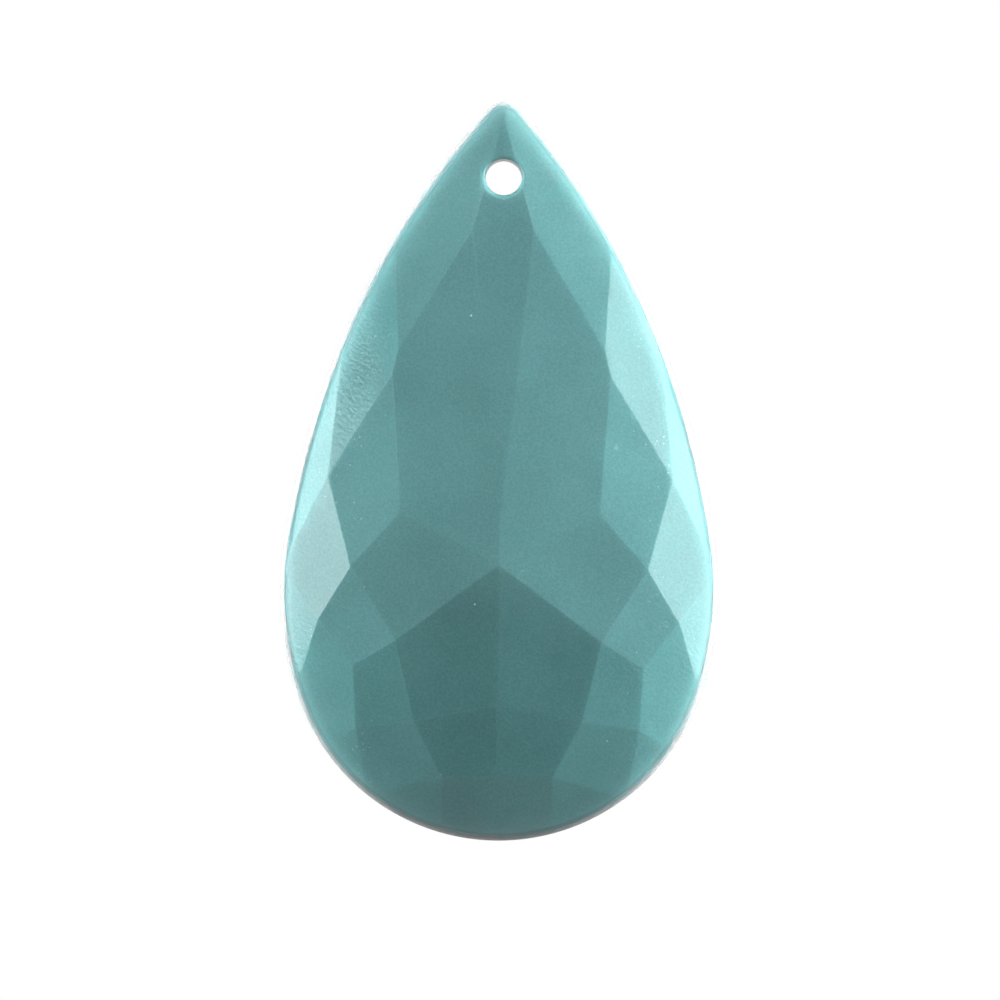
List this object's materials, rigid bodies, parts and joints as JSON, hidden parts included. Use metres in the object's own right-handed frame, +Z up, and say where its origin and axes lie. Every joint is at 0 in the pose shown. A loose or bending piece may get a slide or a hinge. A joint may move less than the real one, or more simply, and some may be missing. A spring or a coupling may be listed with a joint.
{
  "type": "faceted drop",
  "caption": "Pear-shaped drop of opaque moulded plastic, faceted like a cut stone on both faces, with a hang hole near its pointed end.",
  "frame": {"origin": "centre of the hang hole, half-way through the drop", "axes": "+Z up along the drop to its tip, +X across it, +Y through the hang hole; the front face looks along -Y"},
  "size_m": [0.03, 0.009, 0.0507],
  "materials": {
    "turquoise": "polished, slightly waxy"
  },
  "bodies": {
    "root": {"faceted_drop": "turquoise"}
  },
  "joints": []
}
